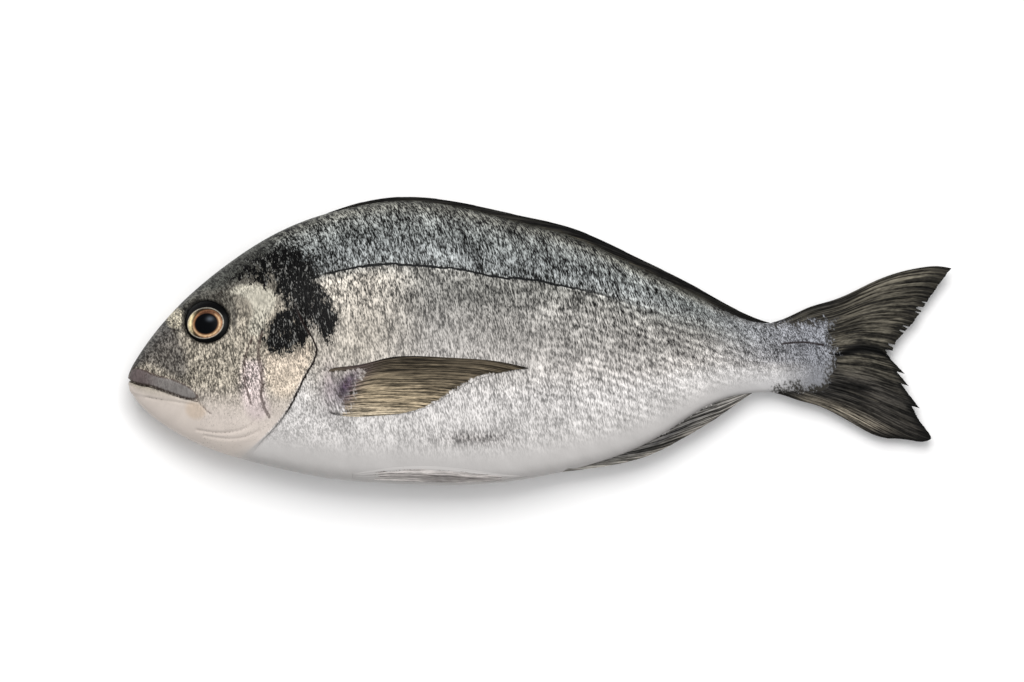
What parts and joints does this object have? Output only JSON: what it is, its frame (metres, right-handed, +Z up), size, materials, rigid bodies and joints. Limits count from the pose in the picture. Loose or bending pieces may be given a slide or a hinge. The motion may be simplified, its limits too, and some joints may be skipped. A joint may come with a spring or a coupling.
{
  "type": "gilthead sea bream",
  "caption": "Whole raw gilthead sea bream lying on its side, with a silver flank, a dark back, a pale belly and folded fins.",
  "frame": {"origin": "middle of the bounding box in plan, on the surface that the fish lies on", "axes": "+X from the snout to the tail, +Y from the belly to the back, +Z up through the flanks"},
  "size_m": [0.33, 0.116, 0.0448],
  "materials": {
    "skin": "wet scaly skin, silver on the flank, dark blue grey on the back and pale on the belly"
  },
  "bodies": {
    "root": {"sea_bream": "skin"}
  },
  "joints": []
}
